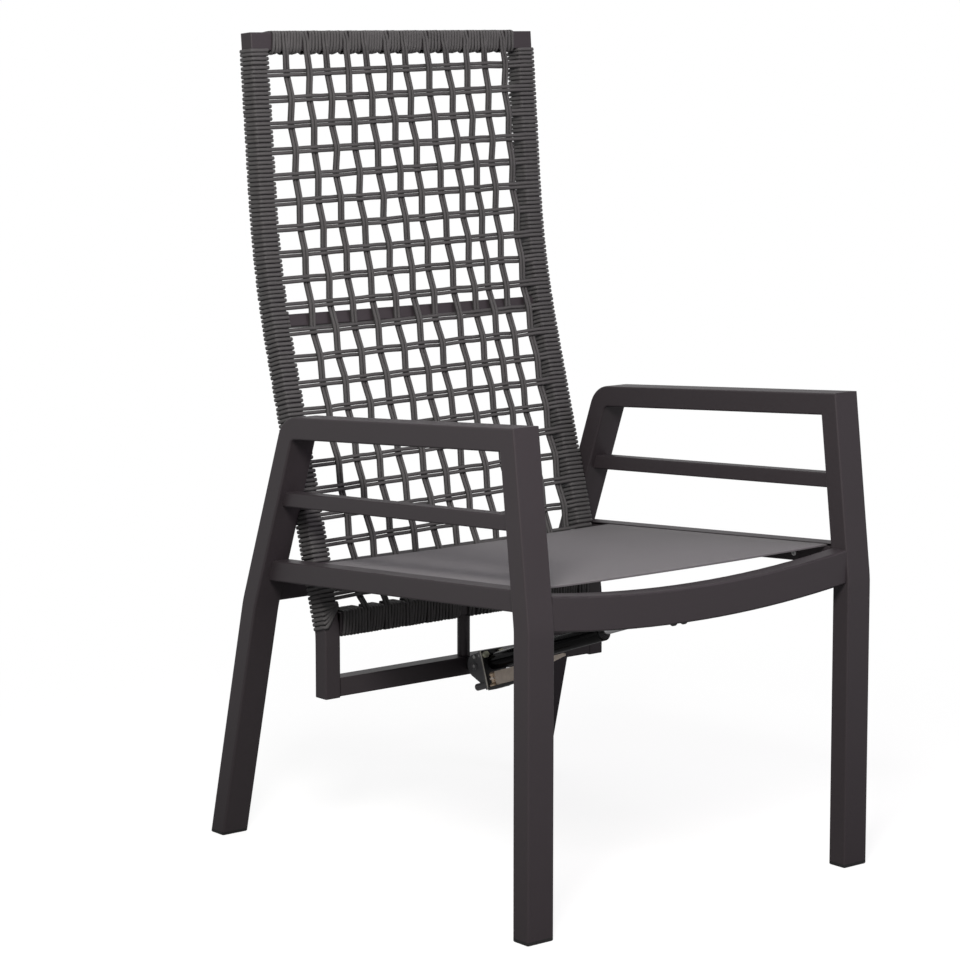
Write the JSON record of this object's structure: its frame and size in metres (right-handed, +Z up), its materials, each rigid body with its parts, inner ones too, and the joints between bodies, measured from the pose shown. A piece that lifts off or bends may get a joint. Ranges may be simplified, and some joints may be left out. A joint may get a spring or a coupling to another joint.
{
  "type": "reclining garden armchair",
  "caption": "High-backed garden armchair with flat-tube frame, stretched cloth seat and a corded lattice backrest that reclines on a lockable gas spring.",
  "frame": {"origin": "on the floor, at the centre of the chair's footprint", "axes": "+Z up, the sitter looks along -Y, +X to the right for somebody who stands in front of the chair"},
  "size_m": [0.6, 0.6977, 1.1238],
  "materials": {
    "frame_coat": "satin",
    "black_plastic": "matte",
    "seat_textile": "matte",
    "cord": "matte",
    "steel": "satin",
    "grey_coat": "satin",
    "zinc_plate": "satin",
    "yellow_zinc": "satin",
    "gloss_black": "gloss",
    "rod_chrome": "polished",
    "brass": "satin"
  },
  "bodies": {
    "frame": {"left_front_leg": "frame_coat", "right_front_leg": "frame_coat", "left_rear_leg": "frame_coat", "right_rear_leg": "frame_coat", "left_armrest": "frame_coat", "right_armrest": "frame_coat", "left_middle_rail": "frame_coat", "right_middle_rail": "frame_coat", "left_seat_rail": "frame_coat", "right_seat_rail": "frame_coat", "front_apron": "frame_coat", "rear_cross_tube": "frame_coat", "foot_glides": "black_plastic", "seat_cloth": "seat_textile", "left_edge_strip": "black_plastic", "right_edge_strip": "black_plastic", "lock_screws": "steel", "hinge_bolts": "steel", "hinge_washers": "black_plastic", "hinge_inserts": "steel", "front_bracket": "grey_coat"},
    "backrest": {"left_back_side_tube": "frame_coat", "right_back_side_tube": "frame_coat", "back_top_tube": "frame_coat", "back_middle_crossbar": "frame_coat", "back_lower_crossbar": "frame_coat", "back_bottom_bar": "frame_coat", "back_centre_post": "frame_coat", "tube_end_plugs": "black_plastic", "back_lattice": "cord", "left_winding": "cord", "right_winding": "cord", "top_winding": "cord", "lower_winding": "cord", "hinge_bushes": "black_plastic", "spring_lug": "grey_coat"},
    "gas_spring": {"release_head": "grey_coat", "spring_pivot_pin": "steel", "head_rivet": "steel", "cable_socket": "grey_coat", "spring_flange": "zinc_plate", "flange_bolts": "yellow_zinc", "flange_nuts": "steel", "spring_cylinder": "gloss_black", "rod_guide": "black_plastic", "lever_shelf": "grey_coat", "lever_post": "brass"},
    "gas_spring_rod": {"piston": "steel", "piston_rod": "rod_chrome", "rod_eye": "steel", "front_pin": "steel"},
    "lever": {"release_lever": "zinc_plate"}
  },
  "joints": [
    {"name": "recline", "type": "hinge", "parent": "frame", "child": "backrest", "pos_m": [0, 0.17359, 0.39329], "axis": [-1, 0, 0], "range_deg": [0, 42]},
    {"name": "gas_spring_tilt", "type": "hinge", "parent": "backrest", "child": "gas_spring", "pos_m": [0, 0.116, 0.237], "axis": [1, 0, 0], "range_deg": [0, 49]},
    {"name": "gas_spring_stroke", "type": "slide", "parent": "gas_spring", "child": "gas_spring_rod", "axis": [0, 0.9468, -0.3219], "range_m": [0, 0.111]},
    {"name": "lever_swing", "type": "hinge", "parent": "gas_spring", "child": "lever", "pos_m": [-0.013, 0.06962, 0.22795], "axis": [0, -0.3219, -0.9468], "range_deg": [0, 10], "stiffness_Nm_per_rad": 0.3, "springref_deg": -8.59}
  ],
  "couplings": [
    {"joint": "gas_spring_tilt", "follows": "recline", "ratio": 1.1566},
    {"joint": "gas_spring_stroke", "follows": "recline", "m_per_rad": 0.15074}
  ]
}
